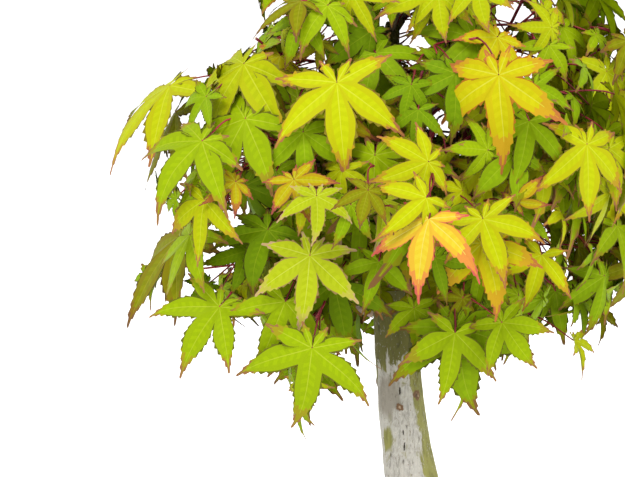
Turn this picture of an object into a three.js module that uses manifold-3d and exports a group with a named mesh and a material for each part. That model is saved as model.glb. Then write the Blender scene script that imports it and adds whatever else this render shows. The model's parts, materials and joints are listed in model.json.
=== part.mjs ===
// A Japanese maple trained as a small bonsai: a leaning trunk with a root flare, ten tapering boughs and
// a domed crown of foliage masses in four tiers.
// Millimetres, +Z up. The origin is the middle of the flat cut under the trunk, at ground level.
// +X is to the right, -Y is the front, and the trunk leans to the left as it rises.

import * as THREE from "three";
import { mergeVertices } from "three/addons/utils/BufferGeometryUtils.js";
import Module from "manifold-3d";

const wasm = await Module();
wasm.setup();

// ---- Driving dimensions ----

const GAP = 0.35; // left between solids that meet

// The trunk's centre line, from the ground to the tip, with its radius at each station.
const TRUNK_STATIONS = [
  { x: 0, y: 0, z: 0, r: 12.6 },
  { x: -8, y: 1, z: 34, r: 12.1 },
  { x: -13, y: 2, z: 68, r: 11.5 },
  { x: -15.5, y: 2, z: 100, r: 11.0 },
  { x: -18, y: 1, z: 130, r: 10.4 },
  { x: -22, y: -1, z: 160, r: 8.6 },
  { x: -23, y: -2, z: 190, r: 6.8 },
  { x: -20, y: 0, z: 222, r: 5.0 },
  { x: -17, y: 2, z: 285, r: 2.8 },
];
const TRUNK_SIDES = 20;
const TRUNK_RINGS = 34;

// Roots swell the foot of the trunk and run out as a few low ridges.
const FLARE = 9.5; // added radius at the ground
const FLARE_HEIGHT = 15; // height over which the flare dies away
const ROOT_RIDGES = 5;
const RIDGE_DEPTH = 4.2;
const RIDGE_HEIGHT = 21;
const RIDGE_TURN = 0.35; // radians, turns a ridge to the right of the front

// The crown stands over the upper trunk, not over the foot.
const CROWN_X = -19;
const CROWN_Y = 0;

const MASS_DETAIL = 2; // subdivisions of each mass's icosahedron
const MASS_LUMPS = 0.13; // how far a mass's skin rises and falls, as a share of its radius
const NEAR = 0.7; // two masses share a wall when their reaches come to this share of their distance

// Each tier is a ring of masses. out is the reach of a mass along its own direction, across its half width
// and up its half height; clear is the room kept round the crown's axis for trunk and boughs. A mass may
// rise above its tier, grow as a whole, shift outwards, or have a tint other than green.
const TIERS = [
  {
    name: "skirt",
    z: 124,
    ring: 80,
    size: { out: 46, across: 44, up: 42 },
    clear: 26,
    masses: [
      { name: "right", azimuth: 0, rise: 24, shift: 4 },
      { name: "back_right", azimuth: 50, rise: 9 },
      { name: "back", azimuth: 98, rise: 12 },
      { name: "back_left", azimuth: 142, rise: 8 },
      { name: "left", azimuth: 186, rise: 2, grow: 1.08, shift: 4 },
      { name: "front_left", azimuth: 232, rise: -18, grow: 1.02, tint: "lime" },
      { name: "front_right", azimuth: 308, rise: -13, grow: 0.92, shift: -6 },
    ],
  },
  {
    name: "shoulder",
    z: 199,
    ring: 90,
    size: { out: 50, across: 46, up: 46 },
    clear: 28,
    masses: [
      { name: "right", azimuth: 4, rise: 6 },
      { name: "back_right", azimuth: 47, rise: 2 },
      { name: "back", azimuth: 92 },
      { name: "back_left", azimuth: 137, rise: -4 },
      { name: "left", azimuth: 180, rise: 1, grow: 1.04, tint: "lime" },
      { name: "front_left", azimuth: 224, rise: -6 },
      { name: "front", azimuth: 270, rise: -12, tint: "yellow" },
      { name: "front_right", azimuth: 315, rise: -4, tint: "yellow" },
    ],
  },
  {
    name: "upper",
    z: 258,
    ring: 58,
    size: { out: 46, across: 44, up: 40 },
    clear: 13,
    masses: [
      { name: "right", azimuth: 10, rise: -4 },
      { name: "back_right", azimuth: 68, rise: 3 },
      { name: "back_left", azimuth: 128 },
      { name: "left", azimuth: 184, rise: -3, grow: 1.07, shift: 6 },
      { name: "front_left", azimuth: 240, rise: 2, tint: "lime" },
      { name: "front_right", azimuth: 300, rise: -2, tint: "lime" },
    ],
  },
  {
    name: "top",
    z: 297,
    ring: 0,
    size: { out: 54, across: 50, up: 38 },
    clear: -100, // sits over the axis
    masses: [{ name: "centre", azimuth: 200 }],
  },
];

// Each bough leaves the trunk at a height and runs into the mass it carries. lift bows it up on its way.
const BOUGH_SIDES = 9;
const BOUGH_RINGS = 9;
const BOUGHS = [
  { name: "bough_left_low", from: 112, to: "foliage_skirt_left", r: 4.4, lift: 16 },
  { name: "bough_right_low", from: 119, to: "foliage_skirt_right", r: 4.6, lift: 14 },
  { name: "bough_back_low", from: 126, to: "foliage_skirt_back", r: 4.0, lift: 12 },
  { name: "bough_front_left", from: 134, to: "foliage_shoulder_front_left", r: 4.3, lift: 8 },
  { name: "bough_front_right", from: 146, to: "foliage_shoulder_front_right", r: 4.2, lift: 8 },
  { name: "bough_left", from: 158, to: "foliage_shoulder_left", r: 3.9, lift: 10 },
  { name: "bough_back_right", from: 152, to: "foliage_shoulder_back_right", r: 3.9, lift: 10 },
  { name: "bough_back_left", from: 167, to: "foliage_shoulder_back_left", r: 3.6, lift: 8 },
  { name: "bough_upper_right", from: 184, to: "foliage_upper_right", r: 3.3, lift: 10 },
  { name: "bough_upper_left", from: 196, to: "foliage_upper_left", r: 3.1, lift: 8 },
];
const BOUGH_TIP_SHARE = 0.55; // radius at the mass's middle over the radius at the trunk
const BOUGH_COLLAR = 0.45; // swelling where a bough leaves the trunk, as a share of its radius

// ---- Materials ----

const BARK = new THREE.MeshStandardMaterial({ color: 0x9a9582, roughness: 0.9, metalness: 0 });
const YOUNG_BARK = new THREE.MeshStandardMaterial({ color: 0x7d6f5c, roughness: 0.85, metalness: 0 });
const LEAVES = {
  green: new THREE.MeshStandardMaterial({ color: 0x86a80c, roughness: 0.6, metalness: 0 }),
  lime: new THREE.MeshStandardMaterial({ color: 0xb4cc14, roughness: 0.6, metalness: 0 }),
  yellow: new THREE.MeshStandardMaterial({ color: 0xdccf1c, roughness: 0.6, metalness: 0 }),
};

// ---- Solids ----

// A closed geometry as a manifold-3d solid. Only its positions are kept.
function solidOf(geometry) {
  const bare = geometry.clone();
  bare.deleteAttribute("normal");
  bare.deleteAttribute("uv");
  const merged = mergeVertices(bare, 1e-4);
  return new wasm.Manifold(
    new wasm.Mesh({
      numProp: 3,
      vertProperties: merged.attributes.position.array,
      triVerts: new Uint32Array(merged.index.array),
    }),
  );
}

function geometryOf(solid) {
  const mesh = solid.getMesh();
  const geometry = new THREE.BufferGeometry();
  geometry.setAttribute("position", new THREE.BufferAttribute(mesh.vertProperties, 3));
  geometry.setIndex(new THREE.BufferAttribute(mesh.triVerts, 1));
  geometry.computeVertexNormals();
  return geometry;
}

// A capped cylinder bent along a curve. radiusAt(share, angle) is its skin's distance from the curve. The
// sections stay level on an upright limb, so that the trunk's foot is flat.
function limbGeometry(curve, sides, rings, radiusAt, level) {
  const geometry = new THREE.CylinderGeometry(1, 1, 1, sides, rings);
  const position = geometry.attributes.position;
  const up = new THREE.Vector3(0, 0, 1);
  const spot = new THREE.Vector3();
  for (let i = 0; i < position.count; i++) {
    const share = THREE.MathUtils.clamp(position.getY(i) + 0.5, 0, 1);
    const centred = Math.hypot(position.getX(i), position.getZ(i)) < 1e-6;
    const angle = Math.atan2(position.getZ(i), position.getX(i));
    const centre = curve.getPointAt(share);
    const along = level ? up : curve.getTangentAt(share);
    const side = level ? new THREE.Vector3(1, 0, 0) : new THREE.Vector3().crossVectors(up, along).normalize();
    const over = new THREE.Vector3().crossVectors(along, side);
    const radius = centred ? 0 : radiusAt(share, angle, centre);
    spot
      .copy(centre)
      .addScaledVector(side, radius * Math.cos(angle))
      .addScaledVector(over, -radius * Math.sin(angle));
    position.setXYZ(i, spot.x, spot.y, spot.z);
  }
  return geometry;
}

const trunkCurve = new THREE.CatmullRomCurve3(
  TRUNK_STATIONS.map((s) => new THREE.Vector3(s.x, s.y, s.z)),
);

// The trunk's plain radius at a height, between its stations.
function trunkRadius(z) {
  const last = TRUNK_STATIONS.length - 2;
  let i = TRUNK_STATIONS.findIndex((s, n) => n <= last && z <= TRUNK_STATIONS[n + 1].z);
  if (i < 0) i = last;
  const [a, b] = [TRUNK_STATIONS[i], TRUNK_STATIONS[i + 1]];
  return THREE.MathUtils.mapLinear(THREE.MathUtils.clamp(z, a.z, b.z), a.z, b.z, a.r, b.r);
}

// The trunk, or with more than 0 extra a fatter copy that cuts what meets it.
function trunkSolid(extra) {
  const skin = (share, angle, centre) => {
    const height = Math.max(0, centre.z);
    const flare = FLARE * Math.exp(-height / FLARE_HEIGHT);
    const ridge = Math.cos(ROOT_RIDGES * (angle - RIDGE_TURN));
    const ridges = RIDGE_DEPTH * Math.exp(-height / RIDGE_HEIGHT) * ridge;
    const oval = 1 + 0.04 * Math.cos(2 * angle + 1.1);
    return trunkRadius(height) * oval + flare + ridges + extra;
  };
  return solidOf(limbGeometry(trunkCurve, TRUNK_SIDES, TRUNK_RINGS, skin, true));
}

// The point on the trunk's centre line at a height.
function trunkPoint(z) {
  let [low, high] = [0, 1];
  for (let i = 0; i < 30; i++) {
    const middle = (low + high) / 2;
    if (trunkCurve.getPointAt(middle).z < z) low = middle;
    else high = middle;
  }
  return trunkCurve.getPointAt(low);
}

// ---- Foliage masses ----

const masses = [];
for (const tier of TIERS)
  for (const m of tier.masses) {
    const turn = THREE.MathUtils.degToRad(m.azimuth);
    const out = new THREE.Vector3(Math.cos(turn), Math.sin(turn), 0);
    const grow = m.grow ?? 1;
    masses.push({
      name: "foliage_" + tier.name + "_" + m.name,
      centre: new THREE.Vector3(CROWN_X, CROWN_Y, tier.z + (m.rise ?? 0)).addScaledVector(
        out,
        tier.ring + (m.shift ?? 0),
      ),
      out,
      across: new THREE.Vector3(-out.y, out.x, 0),
      size: { out: tier.size.out * grow, across: tier.size.across * grow, up: tier.size.up * grow },
      clear: tier.clear,
      tint: m.tint ?? "green",
      phase: masses.length * 2.4, // no two masses share their lumps
    });
  }

// How far a mass's uncut, lumpy skin is from its centre along a unit direction.
function massReach(mass, d) {
  const a = d.dot(mass.out) / mass.size.out;
  const b = d.dot(mass.across) / mass.size.across;
  const c = d.z / mass.size.up;
  const lumps =
    Math.sin(3.1 * d.x + mass.phase) * Math.cos(2.7 * d.y - mass.phase) +
    0.6 * Math.sin(5.3 * d.z + 4.1 * d.x + 1.7 * mass.phase);
  return (1 + MASS_LUMPS * lumps) / Math.hypot(a, b, c);
}

// The planes that keep a mass off its neighbours and off the trunk: { normal, distance from its centre }.
function massWalls(mass) {
  const walls = [{ normal: mass.out.clone().negate(), distance: axisDistance(mass) - mass.clear }];
  for (const other of masses) {
    if (other === mass) continue;
    const between = other.centre.clone().sub(mass.centre);
    const apart = between.length();
    const normal = between.divideScalar(apart);
    const mine = massReach(mass, normal);
    const theirs = massReach(other, normal.clone().negate());
    if (mine + theirs + GAP > NEAR * apart)
      walls.push({ normal, distance: (apart * mine) / (mine + theirs) - GAP / 2 });
  }
  return walls;
}

function axisDistance(mass) {
  return Math.hypot(mass.centre.x - CROWN_X, mass.centre.y - CROWN_Y);
}

// A mass's solid; extra moves its whole skin out, to cut what enters it.
function massSolid(mass, extra) {
  const geometry = new THREE.IcosahedronGeometry(1, MASS_DETAIL);
  const position = geometry.attributes.position;
  const walls = massWalls(mass);
  const d = new THREE.Vector3();
  for (let i = 0; i < position.count; i++) {
    d.fromBufferAttribute(position, i).normalize();
    let reach = massReach(mass, d);
    for (const wall of walls) {
      const facing = d.dot(wall.normal);
      if (facing > 1e-6) reach = Math.min(reach, wall.distance / facing);
    }
    d.multiplyScalar(reach + extra).add(mass.centre);
    position.setXYZ(i, d.x, d.y, d.z);
  }
  return solidOf(geometry);
}

// ---- Boughs ----

function boughSolid(bough) {
  const mass = masses.find((m) => m.name === bough.to);
  const start = trunkPoint(bough.from);
  const end = mass.centre;
  const knee = start.clone().lerp(end, 0.45);
  knee.z += bough.lift;
  const curve = new THREE.QuadraticBezierCurve3(start, knee, end);
  const skin = (share) =>
    bough.r * (1 - (1 - BOUGH_TIP_SHARE) * share + BOUGH_COLLAR * Math.exp(-share * 12));
  return solidOf(limbGeometry(curve, BOUGH_SIDES, BOUGH_RINGS, skin, false));
}

// ---- The tree ----

const tree = new THREE.Group();

function add(name, solid, material) {
  const mesh = new THREE.Mesh(geometryOf(solid), material);
  mesh.name = name;
  tree.add(mesh);
}

const top = masses.find((m) => m.name === "foliage_top_centre");
add("trunk", trunkSolid(0).subtract(massSolid(top, 2 * GAP)), BARK);

const fatTrunk = trunkSolid(GAP);
for (const bough of BOUGHS) {
  const mass = masses.find((m) => m.name === bough.to);
  const cut = boughSolid(bough).subtract(fatTrunk).subtract(massSolid(mass, 2 * GAP));
  add(bough.name, cut, YOUNG_BARK);
}

for (const mass of masses)
  add(mass.name, massSolid(mass, 0), LEAVES[mass.tint]);

export default tree;
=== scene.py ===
"""A Japanese maple bonsai in early autumn leaf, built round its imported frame.

Bark with relief covers the frame's trunk and boughs. Branches, shoots, leaf stalks and leaves grow on from
them by one seeded plan, inside the frame's foliage masses. Sizes are in metres, +Z up, with the front
towards -Y.
"""

import json
import math
import random
from dataclasses import dataclass, field
from functools import lru_cache

import bmesh
import bpy
import numpy as np
from bpy.props import (
    FloatProperty,
    FloatVectorProperty,
    IntProperty,
    PointerProperty,
)
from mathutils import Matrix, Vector, noise
from mathutils.bvhtree import BVHTree

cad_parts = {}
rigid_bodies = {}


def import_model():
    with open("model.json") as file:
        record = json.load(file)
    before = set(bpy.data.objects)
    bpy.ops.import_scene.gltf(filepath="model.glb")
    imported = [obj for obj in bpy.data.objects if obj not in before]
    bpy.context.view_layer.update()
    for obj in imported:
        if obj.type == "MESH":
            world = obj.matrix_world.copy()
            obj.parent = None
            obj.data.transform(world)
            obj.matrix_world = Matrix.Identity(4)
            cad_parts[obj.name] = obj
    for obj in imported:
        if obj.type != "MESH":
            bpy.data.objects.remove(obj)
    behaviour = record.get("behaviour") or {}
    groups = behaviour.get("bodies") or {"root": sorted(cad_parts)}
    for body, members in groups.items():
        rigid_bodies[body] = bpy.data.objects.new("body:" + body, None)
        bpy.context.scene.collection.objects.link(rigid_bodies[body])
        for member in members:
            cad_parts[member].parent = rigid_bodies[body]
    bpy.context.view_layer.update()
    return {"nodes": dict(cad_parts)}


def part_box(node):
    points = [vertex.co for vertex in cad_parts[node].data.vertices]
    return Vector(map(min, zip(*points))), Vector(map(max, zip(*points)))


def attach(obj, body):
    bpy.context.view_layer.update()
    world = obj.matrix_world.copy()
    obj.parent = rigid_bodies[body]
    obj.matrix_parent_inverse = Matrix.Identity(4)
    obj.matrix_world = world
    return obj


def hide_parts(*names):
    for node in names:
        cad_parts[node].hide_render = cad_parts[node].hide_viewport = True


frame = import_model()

bl_info = {
    "name": "Maple Bonsai",
    "version": (1, 0, 0),
    "blender": (4, 5, 0),
    "location": "3D View > Sidebar > Maple",
    "description": "Grows bark, twigs and palmate leaves on a small maple's frame, and sets its stage",
    "category": "Object",
}

MM = 0.001
UP = Vector((0, 0, 1))
FRONT = Vector((0, -1, 0))
AIM = Vector((-0.0578, 0, 0.153))  # the middle of the front view
EYE = Vector((-0.0578, -0.9986, 0.2053))  # where the tree is looked at from its front
TIERS = ("skirt", "shoulder", "upper", "top")
MASSES = sorted(n for n in frame["nodes"] if n.startswith("foliage_"))
BOUGHS = sorted(n for n in frame["nodes"] if n.startswith("bough_"))

# ---- Reading the frame ----


def node_mesh(names):
    """Corners and triangles of several CAD nodes, joined."""
    corners, triangles = [], []
    for name in names:
        mesh = frame["nodes"][name].data
        start = len(corners)
        corners.extend(v.co.copy() for v in mesh.vertices)
        mesh.calc_loop_triangles()
        triangles.extend(tuple(start + i for i in t.vertices) for t in mesh.loop_triangles)
    return corners, triangles


def middle(name):
    low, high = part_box(name)
    return (low + high) / 2


CROWN_SKIN = BVHTree.FromPolygons(*node_mesh(MASSES))
TRUNK_SKIN = BVHTree.FromPolygons(*node_mesh(["trunk"]))
CROWN_MIDDLES = {name: middle(name) for name in MASSES}
CROWN_LOW = min(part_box(name)[0].z for name in MASSES)
CROWN_TOP = max(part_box(name)[1].z for name in MASSES)
AXIS = sum(CROWN_MIDDLES.values(), Vector()) / len(MASSES)
CORE_LOW = CROWN_LOW + 0.34 * (CROWN_TOP - CROWN_LOW)
CORE_HIGH = CROWN_LOW + 0.66 * (CROWN_TOP - CROWN_LOW)
FAR = 0.4


def outward(point):
    """The direction from the crown's upright core through a point."""
    core = Vector((AXIS.x, AXIS.y, min(max(point.z, CORE_LOW), CORE_HIGH)))
    away = point - core
    return away.normalized() if away.length > 1e-6 else UP.copy()


def depth_below_skin(point):
    """How far a point lies inside the crown's outermost skin, along its outward line."""
    out = outward(point)
    hit = CROWN_SKIN.ray_cast(point + out * FAR, -out)
    return FAR - hit[3] if hit[0] is not None else -FAR


def outside_masses(point):
    """How far a point stands proud of the nearest foliage mass, or 0 inside one."""
    near, normal, _, distance = CROWN_SKIN.find_nearest(point)
    return distance if (point - near).dot(normal) > 0 else 0.0


def over_lower_tier(point):
    """True where a mass lies straight below a point, close enough for the point to be in a fold."""
    return point.z < FOLD_TOP and CROWN_SKIN.ray_cast(point, -UP, FOLD_DEPTH)[0] is not None


def mass_at(point):
    return min(MASSES, key=lambda name: (CROWN_MIDDLES[name] - point).length)


@lru_cache(maxsize=None)
def trunk_line(height):
    """The middle of the trunk at a height, from rays at its skin."""
    across = []
    for turn in range(8):
        ray = Vector((math.cos(turn * math.pi / 4), math.sin(turn * math.pi / 4), 0))
        start = Vector((AXIS.x, 0, height)) + ray * FAR
        hit = TRUNK_SKIN.ray_cast(start, -ray)
        if hit[0] is not None:
            across.append(hit[0])
    if not across:
        return None
    return sum(across, Vector()) / len(across)


# ---- The sizes and colours that a user would change ----


class BarkProperties(bpy.types.PropertyGroup):
    trunk_grain: FloatProperty(
        name="Trunk grain", description="Edge of the trunk mesh's faces",
        default=0.00078, min=0.0005, max=0.003, unit="LENGTH",
    )
    bough_grain: FloatProperty(
        name="Bough grain", description="Edge of the bough meshes' faces",
        default=0.0007, min=0.0004, max=0.003, unit="LENGTH",
    )
    relief: FloatProperty(
        name="Relief", description="Height of the bark's ribs and furrows",
        default=0.00034, min=0.0, max=0.002, unit="LENGTH",
    )
    pale: FloatVectorProperty(
        name="Pale bark", description="Silvery patches of the lower trunk",
        default=(0.41, 0.39, 0.345), size=3, subtype="COLOR", min=0, max=1,
    )
    olive: FloatVectorProperty(
        name="Olive bark", description="Algae-green bark of the upper trunk",
        default=(0.106, 0.1, 0.019), size=3, subtype="COLOR", min=0, max=1,
    )
    young: FloatVectorProperty(
        name="Young bark", description="Grey-brown bark of boughs and branches",
        default=(0.21, 0.155, 0.105), size=3, subtype="COLOR", min=0, max=1,
    )


class TwigProperties(bpy.types.PropertyGroup):
    seed: IntProperty(name="Seed", description="Changes how the whole crown grows", default=7, min=0)
    tip_radius: FloatProperty(
        name="Shoot radius", description="Radius of a shoot at its tip",
        default=0.00055, min=0.0002, max=0.002, unit="LENGTH",
    )
    stalk_radius: FloatProperty(
        name="Stalk radius", description="Radius of a leaf stalk",
        default=0.00043, min=0.0001, max=0.001, unit="LENGTH",
    )
    stubs: IntProperty(
        name="Pruned shoots", description="Cut shoots at the crown's top", default=16, min=0,
    )
    shoot: FloatVectorProperty(
        name="Shoot", description="Dark crimson of young shoots",
        default=(0.21, 0.017, 0.03), size=3, subtype="COLOR", min=0, max=1,
    )
    stalk: FloatVectorProperty(
        name="Leaf stalk", description="Crimson of the leaf stalks",
        default=(0.27, 0.022, 0.034), size=3, subtype="COLOR", min=0, max=1,
    )


class LeafProperties(bpy.types.PropertyGroup):
    length: FloatProperty(
        name="Leaf length", description="From a leaf's stalk to its longest tip",
        default=0.036, min=0.01, max=0.1, unit="LENGTH",
    )
    spread: FloatProperty(
        name="Spacing", description="Least distance between neighbouring leaves in the outer layer",
        default=0.0185, min=0.01, max=0.1, unit="LENGTH",
    )
    gloss: FloatProperty(
        name="Roughness", description="Roughness of the leaves' upper face",
        default=0.55, min=0.1, max=1.0, subtype="FACTOR",
    )


class StageProperties(bpy.types.PropertyGroup):
    lens: FloatProperty(
        name="Lens", description="Focal length on a 36 mm sensor", default=115.2, min=20, max=300,
    )
    key: FloatProperty(
        name="Key light", description="Power of the soft key light", default=21.0, min=0, unit="POWER",
    )
    sky: FloatProperty(
        name="Room light", description="Strength of the white surroundings", default=1.26, min=0,
    )


# ---- Where each leaf goes ----


@dataclass
class Leaf:
    hub: Vector  # where the stalk meets the blade
    tip: Vector  # direction of the longest lobe
    face: Vector  # the upper face's normal
    length: float
    pattern: int
    tint: str
    base: Vector = None  # where the stalk leaves its shoot
    sag: float = 0.0
    pinch: float = 0.0


# The leaves that catch the eye from the front: place, the tip's turn to the right from straight down, the
# face's turn to the left, the tip's lean forwards, length, and tint. Millimetres and degrees.
# Some front leaves that hang in shadow take the darkest green tint, as painted shade.
FRONT_LEAVES = (
    (-47, -108, 228, 5, 0, 15, 43, "sun"), (-29, -86, 242, 44, -15, 30, 31, "green"),
    (-89, -88, 237, -37, 50, 10, 46, "lime"), (-88, -101, 212, -29, 30, 12, 40, "fresh"),
    (-62, -107, 206, 4, 0, 15, 30, "green"), (-66, -114, 185, 24, 0, 25, 23, "rust"),
    (-56, -122, 178, 4, -10, 15, 21, "blush"), (-62, -108, 176, -8, 10, 12, 16, "lime"),
    (-92, -110, 184, -56, 20, 30, 19, "rust"), (-106, -110, 176, -9, 35, 8, 30, "lime"),
    (-78, -96, 162, -24, 20, 12, 32, "shaded_green"), (-34, -141, 181, -16, 0, 30, 18, "olive"),
    (-7, -120, 193, -68, 0, 20, 29, "sun"), (-9, -142, 178, -49, 0, 16, 28, "sun"),
    (-8, -144, 169, -17, 30, 12, 35, "orange"), (17, -122, 168, 21, 0, 20, 31, "sun"),
    (17, -116, 157, 20, -8, 8, 35, "gold"), (47, -85, 150, -16, 8, 12, 27, "sun"),
    (33, -106, 175, 134, 0, 20, 17, "rust"), (33, -105, 197, -46, 0, 20, 29, "green"),
    (24, -118, 231, 2, 24, 8, 43, "gold"), (26, -89, 249, -30, 0, 35, 25, "gold"),
    (16, -88, 248, -50, 15, 22, 35, "green"), (6, -107, 232, -1, 0, 12, 31, "shaded_green"),
    (42, -96, 227, 15, -15, 18, 24, "green"), (39, -103, 211, -11, 0, 20, 32, "green"),
    (-51, -94, 263, -41, 20, 28, 26, "fresh"), (16, -91, 271, 12, 0, 25, 22, "lime"),
    (-59, -108, 151, -5, 0, 10, 35, "blush"), (-70, -103, 130, -22, 0, 10, 35, "fresh"),
    (-58, -112, 110, -7, 0, 2, 39, "fresh"), (-48, -86, 137, 13, 0, 8, 33, "shaded_green"),
    (-100, -95, 127, -38, 25, 12, 36, "fresh"), (7, -93, 115, -8, 0, 5, 34, "fresh"),
    (8, -87, 117, 8, 0, 3, 44, "green"), (28, -97, 120, 34, 0, 15, 26, "fresh"),
    (-11, -79, 125, 5, 0, 10, 22, "fresh"), (-4, -122, 151, 16, 0, 12, 21, "shaded_green"),
    (20, -84, 143, -15, 30, 8, 24, "green"), (11, -85, 130, -29, 0, 20, 16, "olive"),
    (-128, -14, 229, -50, 68, 0, 52, "sun"), (-126, 0, 216, -30, 74, 0, 46, "olive"),
    (-107, -108, 202, -47, 42, 12, 40, "fresh"), (-122, -43, 156, -38, 64, 0, 50, "olive"),
    (-114, -84, 159, -29, 58, 5, 36, "fresh"), (-63, -93, 265, -71, 60, 10, 26, "olive"),
    (52, -76, 254, -92, 10, 20, 19, "lime"), (51, -76, 246, -23, 0, 15, 20, "fresh"),
    (-14, -110, 227, -14, 0, 10, 19, "shaded_green"), (-11, -112, 216, -8, 15, 10, 20, "shaded_green"),
    (20, -110, 198, -96, 0, 20, 20, "fresh"), (-1, -90, 268, 6, 0, 20, 22, "lime"),
    (1, -84, 243, -85, 20, 20, 14, "green"), (-2, -100, 237, -72, -20, 20, 14, "shaded_green"),
    (-88, -88, 152, -75, 20, 15, 23, "shaded_green"), (-107, -64, 135, -46, 30, 15, 16, "shaded_green"),
    (23, -102, 199, -43, -30, 20, 21, "lime"), (36, -92, 170, 49, 0, 15, 20, "green"),
    (35, -80, 155, 63, 0, 15, 17, "shaded_green"), (-31, -84, 252, -56, 0, 15, 28, "shaded_green"),
    (-90, -82, 218, -11, 10, 15, 24, "rust"), (-81, -88, 231, 36, 0, 15, 20, "olive"),
    (-106, -90, 222, -38, 55, 10, 24, "green"), (-63, -90, 258, -22, 30, 12, 25, "green"),
    (-54, -88, 247, -56, 0, 25, 16, "olive"), (-40, -90, 269, 25, 20, 20, 24, "lime"),
    (-6, -89, 268, -72, 0, 25, 24, "lime"), (-21, -80, 268, -5, 0, 15, 14, "fresh"),
    (-41, -119, 174, -19, 0, 12, 21, "green"), (-28, -102, 148, -16, 0, 8, 25, "green"),
)

# Where sky shows through the crown from the front, and the notches in its outline: across, up, half
# width and half height in millimetres, on the upright plane through the trunk.
CLEARINGS = (
    (-106, 261, 23, 17), (-74, 266, 7, 3), (-50, 260, 6, 4), (-60, 251, 5, 3), (-56, 242, 4, 3),
    (-16, 259, 7, 6), (-5, 249, 6, 8), (39, 263, 4, 4), (47, 264, 4, 3), (43, 237, 6, 3),
    (54, 234, 3, 4), (6, 211, 5, 4), (56, 152, 4, 7), (-118, 211, 6, 6), (-96, 195, 4, 4),
    (-99, 156, 10, 6), (-117, 133, 11, 8), (-93, 141, 4, 3), (-139, 241, 20, 19), (-151, 177, 14, 12),
    (-143, 155, 15, 12), (-139, 100, 14, 13), (-85, 66, 17, 13), (-105, 80, 13, 12), (34, 72, 13, 14),
    (58, 84, 12, 20), (-90, 95, 12, 11), (-49, 62, 8, 9), (-134, 262, 9, 15), (-117, 250, 12, 9),
    (-128, 197, 9, 9), (-124, 128, 8, 7), (-112, 98, 9, 9),
)


@dataclass
class Layer:
    depth: tuple  # from and to, under the crown's skin
    spacing: float  # share of the usual distance between leaves
    size: float  # share of the usual leaf length
    # Cooler tints are darker greens, so a cool layer carries painted shade as well as greener leaves.
    cool: float  # how much cooler its tints are
    darts: int  # places tried
    fine: bool = False  # its leaves have fine saw teeth
    fold: bool = False  # it only fills the fold between two tiers, round the sides and back


LAYERS = (
    Layer((0.004, 0.018), 1.0, 1.0, 0.0, 50000, fine=True),
    Layer((0.022, 0.044), 1.15, 1.0, 0.22, 30000),
    Layer((0.050, 0.085), 1.45, 1.0, 0.5, 18000),
    Layer((0.004, 0.050), 0.84, 0.62, 0.1, 36000),
    Layer((-0.016, 0.034), 0.8, 0.84, 0.15, 40000, fold=True),
)
# The leaf patterns: those of green leaves, of turning leaves, and the plainer ones inside the crown.
GREEN_PATTERNS = range(0, 8)
TURNING_PATTERNS = range(8, 12)
INNER_PATTERNS = range(12, 18)
TURNING_TINTS = ("gold", "rust", "orange")
TRUNK_IN_SIGHT = 0.118  # below this height nothing hangs before the trunk
TIP_PROUD = 0.007  # how far a leaf's tip may stand out of its mass
FOLD_PROUD = 0.022  # the same where the leaf hangs over a lower tier, in the fold between the two
FOLD_TOP = 0.285  # above this height there is no tier to hang over
FOLD_FRONT = -0.025  # and further forwards than this the front leaves fill the fold
FOLD_DEPTH = 0.045  # how far below a leaf in a fold its lower tier may lie
TRUNK_CLEAR = 0.021  # how far to each side of the trunk's middle nothing hangs before it
TRIALS = 4  # ways of hanging that are tried for each leaf
HEADING_SCATTER, DROOP_SCATTER, ROLL_SCATTER = 0.5, 0.2, 0.35
DROOP_MORE = 0.2  # each trial hangs this much lower than the last
# Marks over a leaf, by which its fit is judged: angle from the tip, and share of the leaf's length.
LEAF_MARKS = ((0, 0.5), (0, 0.92), (60, 0.45), (60, 0.8), (-60, 0.45), (-60, 0.8), (110, 0.5), (-110, 0.5))
BLADE_MIDDLE, BLADE_RADIUS = 0.36, 0.52  # of a front leaf that has to stay in sight, as shares of its length
BEHIND = 0.02  # a leaf this much further back than a front leaf can't hide it
# How warm a tint is: its level, its change over 0.1 m, and its drift and scatter.
WARMTH, WARMER_FRONT, WARMER_RIGHT, WARMER_HIGH = 0.4, 0.12, 0.06, 0.05
WARMTH_DRIFT, WARMTH_SCATTER = 0.32, 0.14
# The scale of tints from cool to warm, with the warmth at which each begins, and the tint that some of
# its sprays take instead.
# The coolest tint, the darkest green, is partly painted shade.
TINT_SCALE = (
    (-9.0, "shaded_green", "green", 0.2),
    (-0.02, "green", "olive", 0.15),
    (0.24, "fresh", "green", 0.2),
    (0.47, "lime", "blush", 0.2),
    (0.66, "sun", "lime", 0.2),
    (0.84, "gold", "rust", 0.3),
)


def droop_at(out):
    """How far a leaf's tip hangs below level: little at the crown's top, nearly upright round its side."""
    rise = math.degrees(math.asin(max(-1, min(1, out.z))))
    return math.radians(float(np.interp(rise, (-50, 0, 45, 90), (74, 62, 34, 12))))


def level(direction):
    flat = Vector((direction.x, direction.y, 0))
    return flat.normalized() if flat.length > 1e-4 else Vector((1, 0, 0))


def turned(vector, axis, angle):
    """vector turned about a unit axis."""
    c, s = math.cos(angle), math.sin(angle)
    return vector * c + axis.cross(vector) * s + axis * axis.dot(vector) * (1 - c)


def hides_trunk(point):
    """True where a leaf would hang in front of the trunk's bare stretch."""
    line = trunk_line(round(point.z, 3))
    if line is None or point.z > TRUNK_IN_SIGHT:
        return False
    return abs(point.x - line.x) < TRUNK_CLEAR and point.y < line.y


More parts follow.
